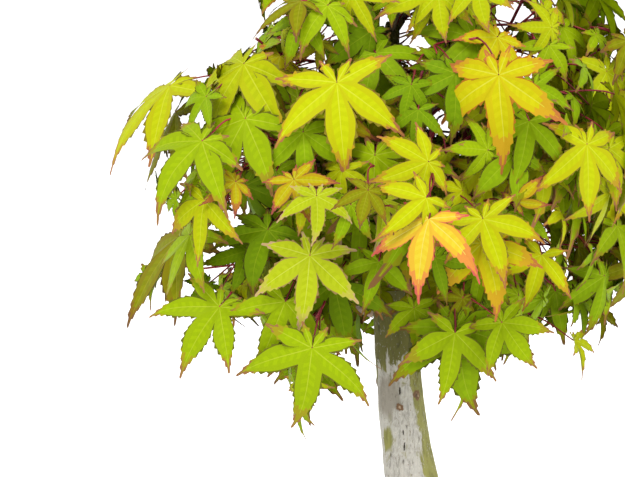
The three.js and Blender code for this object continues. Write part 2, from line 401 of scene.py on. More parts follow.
def tint_at(hub, layer, rng):
    """The tint of a spray: warmer at the front and right of the crown, cooler low, behind and inside. Inside,
    the cooler, darker greens are partly painted shade.
    """
    place = (hub - AXIS) / 0.1
    warmth = WARMTH - WARMER_FRONT * place.y + WARMER_RIGHT * place.x + WARMER_HIGH * place.z
    drift = noise.noise(hub * 22 + Vector((3.1, 8.2, 1.7)))
    warmth += WARMTH_DRIFT * drift + rng.gauss(0, WARMTH_SCATTER)
    # Deeper layers take cooler, darker greens: partly the inner leaves' own colour, partly painted shade.
    warmth -= layer.cool
    chosen = [row for row in TINT_SCALE if warmth > row[0]][-1]
    return chosen[2] if rng.random() < chosen[3] else chosen[1]


def pick_pattern(tint, fine, number):
    """The pattern of a leaf, dealt out by any running number."""
    if not fine:
        return INNER_PATTERNS[number % len(INNER_PATTERNS)]
    if tint in TURNING_TINTS:
        return TURNING_PATTERNS[(number + 1) % len(TURNING_PATTERNS)]
    return GREEN_PATTERNS[3 * number % len(GREEN_PATTERNS)]


def in_clearing(places):
    """True where any of these places, seen from the front, shows in one of the clearings."""
    share = EYE.y / (EYE.y - places[:, 1])
    across = (EYE.x + (places[:, 0] - EYE.x) * share) / MM
    up = (EYE.z + (places[:, 2] - EYE.z) * share) / MM
    return any((((across - x) / w) ** 2 + ((up - z) / h) ** 2 < 1).any() for x, z, w, h in CLEARINGS)


def marks(hub, tip, face, size):
    """Points spread over a leaf: its stalk end, and half way and nearly all along its longer lobes."""
    side = tip.cross(face)
    spots = [hub]
    for angle, reach in LEAF_MARKS:
        a = math.radians(angle)
        spots.append(hub + (tip * math.cos(a) + side * math.sin(a)) * size * reach)
    return spots


def hides_front_leaf(spots, shown):
    """True where a leaf would hang before one of the front leaves."""
    for leaf in shown:
        centre = leaf.hub + leaf.tip * leaf.length * BLADE_MIDDLE
        reach = leaf.length * BLADE_RADIUS
        for spot in spots:
            if spot.y > centre.y + BEHIND:
                continue
            ray = (centre - EYE).normalized()
            along = (spot - EYE).dot(ray)
            if along < (centre - EYE).length and (spot - EYE - ray * along).length < reach:
                return True
    return False


def hang(hub, rng, size, layer, shown):
    """A leaf at hub as it hangs there, or None if it doesn't fit."""
    out = outward(hub)
    for trial in range(TRIALS):
        heading = turned(level(out), UP, rng.gauss(0, HEADING_SCATTER))
        droop = droop_at(out) + rng.gauss(0, DROOP_SCATTER) + DROOP_MORE * trial
        tip = heading * math.cos(droop) - UP * math.sin(droop)
        face = heading * math.sin(droop) + UP * math.cos(droop)
        face = turned(face, tip, rng.gauss(0, ROLL_SCATTER))
        spots = marks(hub, tip, face, size)
        in_fold = layer.fold and all(over_lower_tier(spot) for spot in spots)
        proud = max(outside_masses(spot) for spot in spots)
        if proud > (FOLD_PROUD if in_fold else TIP_PROUD) or any(hides_trunk(spot) for spot in spots):
            continue
        if in_clearing(np.array([tuple(spot) for spot in spots])):
            continue
        if not hides_front_leaf(spots, shown):
            break
    else:
        return None
    rise = droop - math.radians(35) + rng.gauss(0, 0.25)
    stalk = (heading * math.cos(rise) - UP * math.sin(rise) + out * 0.8).normalized()
    tint = tint_at(hub, layer, rng)
    leaf = Leaf(
        hub, tip, face, size, pick_pattern(tint, layer.fine, rng.randrange(24)), tint,
        base=hub - stalk * rng.uniform(0.019, 0.032), sag=rng.uniform(-0.05, 0.35),
        pinch=rng.uniform(-0.55, 0.45),
    )
    return None if in_clearing(leaf_corners(leaf, leaf_patterns()[leaf.pattern][0])) else leaf


def front_leaf(number, x, y, z, turn, roll, lean, size, tint, rng):
    """One of the leaves chosen for the front of the crown."""
    hub = Vector((x, y, z)) * MM
    angle, pitch = math.radians(turn), math.radians(lean)
    aim = Vector((math.sin(angle), 0, -math.cos(angle)))
    tip = aim * math.cos(pitch) + FRONT * math.sin(pitch)
    face = turned(FRONT * math.cos(pitch) - aim * math.sin(pitch), tip, math.radians(roll))
    stalk = (tip * 0.4 + outward(hub) * 0.8 - UP * 0.25).normalized()
    return Leaf(
        hub, tip, face, size * MM, pick_pattern(tint, True, number), tint,
        base=hub - stalk * rng.uniform(0.02, 0.03), sag=rng.uniform(0.0, 0.16),
        pinch=rng.uniform(-0.25, 0.2),
    )


def place_leaves(seed, length, spread):
    """The front leaves, then each layer's, at darts thrown into the crown that fall far enough apart."""
    rng = random.Random(seed)
    leaves = [front_leaf(number, *row, rng) for number, row in enumerate(FRONT_LEAVES)]
    shown = list(leaves)
    low = Vector([min(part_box(n)[0][k] for n in MASSES) for k in range(3)])
    high = Vector([max(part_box(n)[1][k] for n in MASSES) for k in range(3)])
    for layer in LAYERS:
        gap = spread * layer.spacing
        taken = [leaf.hub for leaf in leaves]
        for _ in range(layer.darts):
            dart = Vector(rng.uniform(low[k], high[k]) for k in range(3))
            depth = depth_below_skin(dart)
            if not layer.depth[0] <= depth <= layer.depth[1]:
                continue
            if layer.fold and (dart.y < FOLD_FRONT or not over_lower_tier(dart)):
                continue
            if any((dart - other).length_squared < gap * gap for other in taken):
                continue
            leaf = hang(dart, rng, length * layer.size * rng.uniform(0.72, 1.16), layer, shown)
            if leaf is not None:
                leaves.append(leaf)
                taken.append(dart)
    return leaves


# ---- How the shoots grow to them ----

SPRAY_REACH = 0.017  # stalks that start this near each other share a shoot
SPRAY_SIZE = 4
STEP = 0.006
LOWEST_FORK = 0.133  # height on the trunk
FORK_GAP = 0.008
# What a fork costs a new shoot: turning back, a long way from the root, and lying nearer the skin.
TURN_COST, REACH_COST, SKIN_COST = 0.5, 0.22, 3.0
COVER = 0.004  # how much deeper than its goal a fork may lie at no cost
TAPER = 0.44  # power of the number of shoots that a branch's radius follows


@dataclass
class Growth:
    """Points of the branching wood: where each is, what it grew from, and each shoot's chain of points."""

    at: list = field(default_factory=list)
    parent: list = field(default_factory=list)
    along: list = field(default_factory=list)
    reach: list = field(default_factory=list)
    depth: list = field(default_factory=list)
    chains: list = field(default_factory=list)

    def add(self, point, parent, along):
        self.at.append(point)
        self.parent.append(parent)
        self.along.append(along)
        travelled = 0.0 if parent < 0 else self.reach[parent] + (point - self.at[parent]).length
        self.reach.append(travelled)
        self.depth.append(depth_below_skin(point))
        return len(self.at) - 1


def gather_sprays(leaves):
    """Groups the leaves whose stalks start close together. Each group's shoot ends at the mean start."""
    open_leaves = set(range(len(leaves)))
    sprays = []
    for first in range(len(leaves)):
        if first not in open_leaves:
            continue
        near = sorted(open_leaves, key=lambda i: (leaves[i].base - leaves[first].base).length)
        group = [i for i in near[:SPRAY_SIZE] if (leaves[i].base - leaves[first].base).length < SPRAY_REACH]
        open_leaves.difference_update(group)
        node = sum((leaves[i].base for i in group), Vector()) / len(group)
        for i in group:
            leaves[i].base = node
        sprays.append(node)
    return sprays


def limb_line(name):
    """Three points along a bough's middle: near the trunk, halfway, and just inside its far end."""
    corners, _ = node_mesh([name])
    spots = np.array([tuple(c) for c in corners])
    from_axis = np.hypot(spots[:, 0] - AXIS.x, spots[:, 1] - AXIS.y)
    line = []
    for low, high in ((0.0, 0.3), (0.4, 0.6), (0.75, 1.0)):
        edges = np.quantile(from_axis, (low, high))
        chosen = spots[(from_axis >= edges[0]) & (from_axis <= edges[1])]
        line.append(Vector(chosen.mean(axis=0)))
    return line


def start_growth():
    """The trunk's and boughs' own middles, from which the branches fork."""
    growth = Growth()
    last = -1
    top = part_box("trunk")[1].z
    for height in np.arange(LOWEST_FORK, top - 0.002, FORK_GAP):
        middle_point = trunk_line(round(float(height), 3))
        if middle_point is None:
            continue
        last = growth.add(middle_point, last, UP.copy())
    trunk_points = list(range(len(growth.at)))
    for name in BOUGHS:
        line = limb_line(name)
        last = min(trunk_points, key=lambda i: (growth.at[i] - line[0]).length)
        for before, point in zip([growth.at[last]] + line, line):
            last = growth.add(point, last, (point - before).normalized())
    return growth


def bezier(p0, p1, p2, p3, share):
    back = 1 - share
    return p0 * back**3 + p1 * 3 * back * back * share + p2 * 3 * back * share * share + p3 * share**3


def reach_out(growth, goal, rng):
    """Grows one shoot from the best fork to goal."""
    spots = np.array([tuple(p) for p in growth.at])
    headings = np.array([tuple(d) for d in growth.along])
    way = np.array(tuple(goal)) - spots
    distance = np.linalg.norm(way, axis=1) + 1e-9
    forward = (way * headings).sum(axis=1) / distance
    shallow = np.maximum(0.0, depth_below_skin(goal) + COVER - np.array(growth.depth))
    cost = distance * (1 + TURN_COST - TURN_COST * forward)
    cost += REACH_COST * np.array(growth.reach)
    cost += SKIN_COST * shallow
    fork = int(np.argmin(cost))
    start, heading = growth.at[fork], growth.along[fork]
    straight = goal - start
    length = straight.length
    ahead = straight.normalized() if length > 1e-6 else UP
    side = Vector((rng.gauss(0, 1), rng.gauss(0, 1), rng.gauss(0, 1))) * 0.04 * length
    first = start + (heading * 0.3 + ahead * 0.7) * length * 0.34 + side
    final = (ahead * 0.6 + outward(goal) * 0.5 + UP * 0.1).normalized()
    second = goal - final * length * 0.3 - side * 0.5
    steps = max(2, math.ceil(length / STEP))
    chain = [fork]
    for k in range(1, steps + 1):
        point = bezier(start, first, second, goal, k / steps)
        before = growth.at[chain[-1]]
        along = (point - before).normalized() if (point - before).length > 1e-9 else ahead
        chain.append(growth.add(point, chain[-1], along))
    growth.chains.append(chain)
    return chain[-1]


def thicken(growth, tip_radius):
    """Each fork carries the cross-sections of all that grow from it."""
    load = [0.0] * len(growth.at)
    tips = set(chain[-1] for chain in growth.chains)
    for i in reversed(range(len(growth.at))):
        if i in tips:
            load[i] += 1.0
        if growth.parent[i] >= 0:
            load[growth.parent[i]] += load[i]
    return [tip_radius * max(1.0, n) ** TAPER for n in load]


@dataclass
class Crown:
    leaves: list
    growth: Growth
    radius: list
    stubs: list


@lru_cache(maxsize=2)
def grow_crown(seed, length, spread, tip_radius, stubs):
    """The whole crown's plan: leaves first, then the shoots that carry them."""
    leaves = place_leaves(seed, length, spread)
    sprays = gather_sprays(leaves)
    growth = start_growth()
    rng = random.Random(seed + 1)
    roots = list(growth.at)
    order = sorted(range(len(sprays)), key=lambda i: min((sprays[i] - r).length for r in roots))
    ends = [reach_out(growth, sprays[i], rng) for i in order]
    return Crown(leaves, growth, thicken(growth, tip_radius), pruned_shoots(growth, ends, stubs, rng))


def pruned_shoots(growth, ends, count, rng):
    """Short cut shoots that stand out of the crown's upper half: the points along each."""
    upper = [e for e in ends if growth.at[e].z > CORE_HIGH and depth_below_skin(growth.at[e]) < 0.035]
    chosen = rng.sample(sorted(upper), min(count, len(upper)))
    stubs = []
    for end in chosen:
        start = growth.at[end]
        out = outward(start)
        bow = growth.along[end]
        sway = Vector((rng.gauss(0, 0.2), rng.gauss(0, 0.2), 0))
        lean = (out * 0.4 + UP * 0.7 + bow * 0.5 + sway).normalized()
        length = rng.uniform(0.014, 0.024)
        first, second = start + bow * length * 0.4, start + lean * length * 0.7
        stubs.append([bezier(start, first, second, start + lean * length, k / 4) for k in range(5)])
    return stubs


def crown_plan(context):
    twigs, leaf = context.scene.maple_twigs, context.scene.maple_leaves
    return grow_crown(twigs.seed, leaf.length, leaf.spread, twigs.tip_radius, twigs.stubs)


# ---- Joined meshes from arrays ----


class Pile:
    """Corners, faces and each face's material number, gathered into one mesh."""

    def __init__(self):
        self.corners, self.loops, self.sizes, self.paints = [], [], [], []
        self.count = 0

    def add(self, corners, faces, paints):
        """faces is an array of loops with -1 in a triangle's fourth place."""
        self.corners.append(corners)
        shifted = np.where(faces < 0, -1, faces + self.count)
        self.sizes.append(np.where(faces[:, 3] < 0, 3, 4))
        flat = shifted.ravel()
        self.loops.append(flat[flat >= 0])
        self.paints.append(paints)
        self.count += len(corners)

    def add_tube(self, points, radii, sides, paint):
        """Adds a tube of one material, and returns its faces' material numbers."""
        corners, faces = tube(points, radii, sides)
        paints = np.full(len(faces), paint)
        self.add(corners, faces, paints)
        return paints

    def mesh(self, name, materials):
        corners = np.concatenate(self.corners).astype(np.float32)
        loops = np.concatenate(self.loops).astype(np.int32)
        sizes = np.concatenate(self.sizes).astype(np.int32)
        paints = np.concatenate(self.paints).astype(np.int32)
        mesh = bpy.data.meshes.new(name)
        mesh.vertices.add(len(corners))
        mesh.vertices.foreach_set("co", corners.ravel())
        mesh.loops.add(len(loops))
        mesh.loops.foreach_set("vertex_index", loops)
        mesh.polygons.add(len(sizes))
        starts = np.concatenate(([0], np.cumsum(sizes)[:-1])).astype(np.int32)
        mesh.polygons.foreach_set("loop_start", starts)
        mesh.polygons.foreach_set("material_index", paints)
        mesh.polygons.foreach_set("use_smooth", np.ones(len(sizes), dtype=bool))
        for material in materials:
            mesh.materials.append(material)
        mesh.update(calc_edges=True)
        mesh.validate()
        return mesh


def put(name, data):
    """A new object in the scene."""
    made = bpy.data.objects.new(name, data)
    bpy.context.scene.collection.objects.link(made)
    return made


def show(name, mesh, nodes=()):
    """Adds a finished piece to the scene: it rides on the root body, and the CAD nodes it covers are hidden.
    """
    piece = put(name, mesh)
    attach(piece, "root")
    if nodes:
        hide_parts(*nodes)
    return piece


def tube(points, radii, sides):
    """Corners and faces of a round tube with closed ends, along points."""
    spots = np.array([tuple(p) for p in points])
    radii = np.asarray(radii, float)
    along = np.gradient(spots, axis=0)
    along /= np.linalg.norm(along, axis=1)[:, None] + 1e-12
    side = np.cross(along[0], (0.31, 0.17, 0.93))
    if np.linalg.norm(side) < 1e-3:
        side = np.cross(along[0], (1, 0, 0))
    rings = []
    turn = np.arange(sides) * 2 * math.pi / sides
    for spot, heading, radius in zip(spots, along, radii):
        side = side - heading * (side @ heading)
        side /= np.linalg.norm(side)
        over = np.cross(heading, side)
        rings.append(spot + radius * (np.cos(turn)[:, None] * side + np.sin(turn)[:, None] * over))
    corners = np.concatenate(rings + [spots[:1], spots[-1:]])
    first, last = len(corners) - 2, len(corners) - 1
    faces = []
    for ring in range(len(spots) - 1):
        for k in range(sides):
            a, b = ring * sides + k, ring * sides + (k + 1) % sides
            faces.append((a, b, b + sides, a + sides))
    end = (len(spots) - 1) * sides
    for k in range(sides):
        faces.append((first, (k + 1) % sides, k, -1))
        faces.append((last, end + k, end + (k + 1) % sides, -1))
    return corners, np.array(faces)


# ---- Leaf patterns ----

BLADE, RIB, RIM, WARM, TIP, MARGIN, VEIN = range(7)
ZONES = ("blade", "rib", "rim", "warm", "tip", "margin", "vein")
NOTCH_ROWS = 2
# A lobe's half width, as a share of its widest, at shares of its length from the notch to the tip.
LOBE_AT = (0.0, 0.14, 0.30, 0.44, 0.58, 0.71, 0.83, 0.92, 1.0)
LOBE_WIDTH = (0.0, 0.97, 1.0, 0.90, 0.66, 0.38, 0.19, 0.09, 0.0)
END_NOTCH, END_ANGLE = 0.07, 22  # the outer edge of the two lobes beside the stalk
FINE_TEETH, PLAIN_TEETH = 8.5, 4.5  # along a lobe of full length
EARLY = 0.09  # how much sooner the lobes of a turning pattern turn
VEIN_WIDTH = 0.0062


def lobe_half_width(share, root, belly):
    """Half width at a share of a lobe's free length: root at the notch, belly at its widest, 0 at the tip."""
    if share < LOBE_AT[2]:
        return root + (belly - root) * math.sin(0.5 * math.pi * share / LOBE_AT[2])
    return belly * float(np.interp(share, LOBE_AT, LOBE_WIDTH))


def lobe_plan(rng, fingers):
    """Angle from the tip, length and belly of each lobe, and the notch radius between neighbours."""
    pairs = {
        7: ((60, 0.91), (107, 0.62), (149, 0.33)),
        5: ((60, 0.88), (114, 0.5)),
    }[fingers]
    right, left = [], []
    for sides in (right, left):
        for angle, length in pairs:
            sides.append((angle + rng.gauss(0, 5), length * rng.uniform(0.92, 1.06)))
    lobes = [(-a, length) for a, length in reversed(left)] + [(0.0, 1.0)] + list(right)
    bellies = [length * rng.uniform(0.125, 0.172) + 0.009 for _, length in lobes]
    notches = []
    for (a, la), (b, lb) in zip(lobes, lobes[1:]):
        notches.append(min(la, lb) * rng.uniform(0.24, 0.36))
    return lobes, bellies, notches


def half_lobe(length, belly, half_angle, notch, rows, rng):
    """Outer edge of one side of a lobe, hub first: (along, aside, tooth height, share of free length)."""
    edge = []
    for k in range(NOTCH_ROWS + 1):
        radius = notch * k / NOTCH_ROWS
        edge.append((radius * math.cos(half_angle), radius * math.sin(half_angle), 0.0, 0.0))
    start, root = edge[-1][0], edge[-1][1]
    for j in range(1, rows + 1):
        share = j / rows
        along = start + (length - start) * share
        aside = lobe_half_width(share, root, belly) if j < rows else 0.0
        tooth = 0.0
        if j < rows and j % 2 == 1:
            tooth = min(rng.uniform(0.014, 0.03) * (1 - 0.5 * share), 0.45 * aside)
        edge.append((along, aside, tooth, share))
    return edge


def zone_of(column, share, row, warm_from, tip_from):
    """The part of the leaf that a face belongs to. The edge turns before the midrib does."""
    turned_by = share + (-0.06, 0.0, 0.08, 0.17)[column]
    if turned_by > tip_from:
        return TIP
    if turned_by > warm_from:
        return WARM
    if column == 0:
        return VEIN
    if column == 3:
        return MARGIN if row > NOTCH_ROWS else RIM
    if column == 2:
        return RIM
    return RIB if row % 2 else BLADE


def leaf_pattern(seed):
    """One leaf, 1 long from stalk to tip: corners, faces and each face's zone. +Y to the tip, +Z its face."""
    rng = random.Random(seed * 31 + 5)
    fingers = 5 if seed % 4 == 3 else 7
    lobes, bellies, notches = lobe_plan(rng, fingers)
    fold = rng.uniform(0.12, 0.34)
    dome = rng.uniform(0.02, 0.26)
    corners, faces, zones = [], [], []
    for number, (angle, length) in enumerate(lobes):
        first, last = number == 0, number == len(lobes) - 1
        gaps = (END_NOTCH if first else notches[number - 1], END_NOTCH if last else notches[number])
        halves = (
            math.radians(END_ANGLE if first else (angle - lobes[number - 1][0]) / 2),
            math.radians(END_ANGLE if last else (lobes[number + 1][0] - angle) / 2),
        )
        rows = max(4, 2 * round((PLAIN_TEETH if seed in INNER_PATTERNS else FINE_TEETH) * length))
        edges = [half_lobe(length, bellies[number], halves[k], gaps[k], rows, rng) for k in (0, 1)]
        early = EARLY if seed in TURNING_PATTERNS else 0.0
        warm_from, tip_from = rng.uniform(0.68, 0.86) - early, rng.uniform(0.87, 0.97) - 0.6 * early
        bend = {
            "angle": math.radians(angle),
            "sweep": rng.gauss(0, 0.16) - 0.0018 * angle,
            "free": max(gaps),
            "fold": fold * rng.uniform(0.6, 1.4),
            "dome": dome,
            "curl": rng.uniform(0.0, 0.42),
            "lift": rng.gauss(0, 0.07),
            "twist": rng.gauss(0, 0.5),
            "wave": rng.uniform(0, 6.28),
        }
        spine = [0.0]
        for k in range(1, NOTCH_ROWS + rows + 1):
            reach = (edges[0][k][0] + edges[1][k][0]) / 2
            width = (edges[0][k][1] + edges[1][k][1]) / 2
            spine.append(max(spine[-1] + 0.01, reach - 0.55 * width))
        spine[-1] = length
        middles = [len(corners) + k for k in range(len(spine))]
        corners.extend(bent(along, 0.0, bend) for along in spine)
        for hand, edge in zip((-1, 1), edges):
            previous = [middles[0]] * 5
            for k, (along, aside, tooth, share) in enumerate(edge[1:], 1):
                row = [middles[k]]
                if k == len(edge) - 1:
                    row = row * 5
                else:
                    vein = min(VEIN_WIDTH * (1 - 0.7 * share), aside * 0.4)
                    inner = max(vein * 1.3, aside - (0.006 if k > NOTCH_ROWS else 0.004))
                    back = spine[k] - along
                    for at in (vein, vein + 0.52 * (inner - vein), inner):
                        row.append(len(corners))
                        corners.append(bent(along + back * (1 - at / aside), hand * at, bend))
                    forward = 0.6 * (length - edge[NOTCH_ROWS][0]) / rows if tooth else 0.0
                    row.append(len(corners))
                    corners.append(bent(along + forward, hand * (aside + tooth), bend))
                for column in range(4):
                    quad = [previous[column], previous[column + 1], row[column + 1], row[column]]
                    if hand > 0:
                        quad.reverse()
                    quad = list(dict.fromkeys(quad))
                    if len(quad) > 2:
                        faces.append(tuple(quad + [-1] * (4 - len(quad))))
                        zones.append(zone_of(column, share, k, warm_from, tip_from))
                previous = row
    return welded(np.array(corners), np.array(faces), np.array(zones))


def bent(along, aside, bend):
    """Where a place in a flat lobe goes once the lobe is folded, curled, twisted and turned into its leaf."""
    radius = math.hypot(along, aside)
    beyond = max(0.0, radius - bend["free"])
    height = bend["fold"] * abs(aside) - bend["dome"] * radius * radius
    height += bend["lift"] * beyond - bend["curl"] * beyond * beyond + bend["twist"] * aside * beyond
    height += 0.014 * beyond * math.sin(11 * along + bend["wave"] + 5 * aside)
    turn = bend["angle"] + bend["sweep"] * beyond * beyond
    x = along * math.sin(turn) + aside * math.cos(turn)
    y = along * math.cos(turn) - aside * math.sin(turn)
    return x, y, height


def welded(corners, faces, zones):
    """Joins neighbouring lobes where they share an edge, by merging corners that lie together."""
    keys = np.round(corners[:, :2] * 2000).astype(int)
    _, first, number = np.unique(keys, axis=0, return_index=True, return_inverse=True)
    number = number.ravel()
    sums = np.zeros((len(first), 3))
    np.add.at(sums, number, corners)
    merged = sums / np.bincount(number)[:, None]
    joined, kept = [], []
    for face, zone in zip(faces, zones):
        loop = list(dict.fromkeys(int(number[c]) for c in face if c >= 0))
        if len(loop) > 2:
            joined.append(loop + [-1] * (4 - len(loop)))
            kept.append(zone)
    return merged, np.array(joined), np.array(kept)


@lru_cache(maxsize=1)
def leaf_patterns():
    return [leaf_pattern(seed) for seed in range(INNER_PATTERNS.stop)]


def leaf_corners(leaf, pattern):
    """A pattern's corners, bent, sized and hung as one leaf."""
    shape = pattern.copy()
    shape[:, 2] -= leaf.sag * np.maximum(shape[:, 1], 0) ** 2
    pinch = leaf.pinch * np.abs(shape[:, 0])
    shape[:, 2] += np.sin(leaf.pinch) * np.abs(shape[:, 0])
    shape[:, 0] *= np.cos(pinch)
    across = leaf.tip.cross(leaf.face)
    turn = np.array([tuple(across), tuple(leaf.tip), tuple(leaf.face)])
    return shape * leaf.length @ turn + np.array(tuple(leaf.hub))


# ---- Materials ----


def srgb(code):
    """Linear colour of a hexadecimal sRGB code."""
    channels = [int(code[k:k + 2], 16) / 255 for k in (0, 2, 4)]
    return [c / 12.92 if c <= 0.04045 else ((c + 0.055) / 1.055) ** 2.4 for c in channels]


# Blade, rib, rim, warm end, tip, margin and vein of each tint, as they look in full light.
# The first tint, the darkest green, is partly the inner leaves' own colour and partly painted shade for
# leaves inside the crown and in shadow at its front.
TINTS = {
    "shaded_green": ("7A9C04", "82A406", "7C9C06", "868C0A", "7A6026", "4E540E", "98B01C"),
    "green": ("94B606", "9CBE08", "94B208", "9C9E12", "90683A", "5E6016", "B0C828"),
    "olive": ("909406", "989C0A", "928A0C", "94761E", "86603A", "66501E", "ACA82C"),
    "fresh": ("A4C006", "ACC808", "A4BE0A", "AEA620", "A87848", "72741E", "C0D234"),
    "blush": ("BECE18", "C6D620", "C2D020", "CCC84C", "D4B080", "A88C50", "D8E250"),
    "lime": ("BCC806", "C4D00A", "C0C60C", "C4AA24", "B27C50", "868028", "D4DC38"),
    "sun": ("CCD606", "D2DC0A", "CCCC0C", "CCA824", "B67848", "948428", "DEE438"),
    "gold": ("D6D00A", "DCD610", "D8C810", "DCB024", "CC8040", "C07C24", "E4E044"),
    "rust": ("CCC00E", "D2C816", "CCAC1A", "C48038", "A85648", "985438", "DACE48"),
    "orange": ("F4D634", "F6DC3C", "F4C438", "F29E4A", "E26A5C", "E88050", "F8E46C"),
}
FULL_LIGHT = 0.51  # how bright the studio's light lets a leaf's own colour be
# The kind of leaf, and so the piece, that each tint belongs to.
KINDS = {
    "green": ("shaded_green", "green", "olive"),
    "lime": ("fresh", "lime", "blush"),
    "yellow": ("sun", "gold", "rust"),
    "orange": ("orange",),
}


def plain(name, color, roughness, specular=0.4):
    """A material whose every value is constant on its shader."""
    material = bpy.data.materials.new(name)
    material.use_nodes = True
    shader = material.node_tree.nodes["Principled BSDF"]
    shader.inputs["Base Color"].default_value = (*color, 1)
    shader.inputs["Roughness"].default_value = roughness
    shader.inputs["Specular IOR Level"].default_value = specular
    material.diffuse_color = (*color, 1)
    return material


def leaf_materials(tints, roughness):
    made = []
    for tint in tints:
        for part, code in zip(ZONES, TINTS[tint]):
            color = [channel * FULL_LIGHT for channel in srgb(code)]
            made.append(plain(f"leaf_{tint}_{part}", color, roughness, 0.04))
    return made


class Nodes:
    """Short hand for building a material's nodes."""

    def __init__(self, name):
        self.material = bpy.data.materials.new(name)
        self.material.use_nodes = True
        self.tree = self.material.node_tree
        self.shader = self.tree.nodes["Principled BSDF"]
        self.place = self.tree.nodes.new("ShaderNodeTexCoord").outputs["Object"]

    def feed(self, socket, value):
        """Links a socket to another one, or sets it to a number or colour."""
        if isinstance(value, bpy.types.NodeSocket):
            self.tree.links.new(value, socket)
        else:
            socket.default_value = (*value, 1) if socket.type == "RGBA" else value

    def add(self, kind, inputs, **settings):
        node = self.tree.nodes.new(kind)
        for key, value in settings.items():
            setattr(node, key, value)
        for key, value in inputs.items():
            self.feed(node.inputs[key], value)
        return node

    def stretched(self, scale, shift=(0, 0, 0)):
        """Object coordinates, scaled along each axis."""
        places = {"Vector": self.place, "Scale": scale, "Location": shift}
        return self.add("ShaderNodeMapping", places).outputs[0]

    def noise(self, scale, detail=4.0, rough=0.6, distortion=0.0, shift=(0, 0, 0)):
        made = self.add("ShaderNodeTexNoise", {
            "Vector": self.stretched(scale, shift), "Scale": 1.0, "Detail": detail,
            "Roughness": rough, "Distortion": distortion,
        })
        return made.outputs["Fac"]

    def near(self, place, size):
        """1 at a place, falling to 0 at the edge of an ellipsoid of these half sizes round it."""
        scale = [1 / s for s in size]
        shift = [-p / s for p, s in zip(place, size)]
        moved = self.stretched(scale, shift)
        far = self.add("ShaderNodeVectorMath", {0: moved}, operation="LENGTH").outputs["Value"]
        return self.math("SUBTRACT", 1.0, far, clamp=True)

    def band(self, value, low, high):
        """0 below low, 1 above high."""
        made = self.add("ShaderNodeMapRange", {
            "Value": value, "From Min": low, "From Max": high, "To Min": 0.0, "To Max": 1.0,
        }, interpolation_type="SMOOTHSTEP")
        return made.outputs[0]

    def mix(self, share, a, b):
        """Colours or sockets a and b, mixed."""
        return self.add("ShaderNodeMix", {0: share, 6: a, 7: b}, data_type="RGBA").outputs[2]

    def math(self, operation, a, b, clamp=False):
        return self.add("ShaderNodeMath", {0: a, 1: b}, operation=operation, use_clamp=clamp).outputs[0]

    def plus(self, a, b):
        return self.math("ADD", a, b)

    def minus(self, a, b):
        return self.math("SUBTRACT", a, b)

    def times(self, a, b):
        return self.math("MULTIPLY", a, b)

    def larger(self, a, b):
        return self.math("MAXIMUM", a, b)

    def finish(self, color, roughness, height, depth):
        """Links the shader. depth is the bump's height in metres."""
        bump = self.add("ShaderNodeBump", {"Height": height, "Distance": depth, "Strength": 1.0})
        for key, value in (("Base Color", color), ("Roughness", roughness), ("Normal", bump.outputs[0])):
            self.feed(self.shader.inputs[key], value)
        return self.material


# The trunk's bark is green above this height, and beyond this line down its right side.
GREEN_ABOVE = 0.0865
GREEN_BEYOND, LINE_LEAN = 0.0036, 0.145
# Patches of the bark: place, half sizes, how much the edge wanders, and where it starts and is full.
PALE_TONGUE = ((-0.0112, -0.0105, 0.0865), (0.0046, 0.009, 0.0135), 1.2, 0.16, 0.26)
GREEN_BLOT = ((-0.0215, -0.0085, 0.053), (0.0042, 0.006, 0.009), 1.6, 0.15, 0.4)
# The brownish patch over the trunk's left flank is painted shade, darkening that side as if it were out of
# the light.
SHADED_LEFT_FLANK = ((-0.0205, -0.006, 0.0755), (0.0085, 0.02, 0.0145), 1.4, 0.1, 0.5)
PALE_DISC = ((-0.0076, -0.0118, 0.0745), (0.0034, 0.0034, 0.0034))
SCAR_RIM, SCAR_WOOD, CRACK = (0.14, 0.075, 0.035), (0.42, 0.31, 0.2), (0.03, 0.022, 0.013)


def shade(color, share):
    return [c * share for c in color]


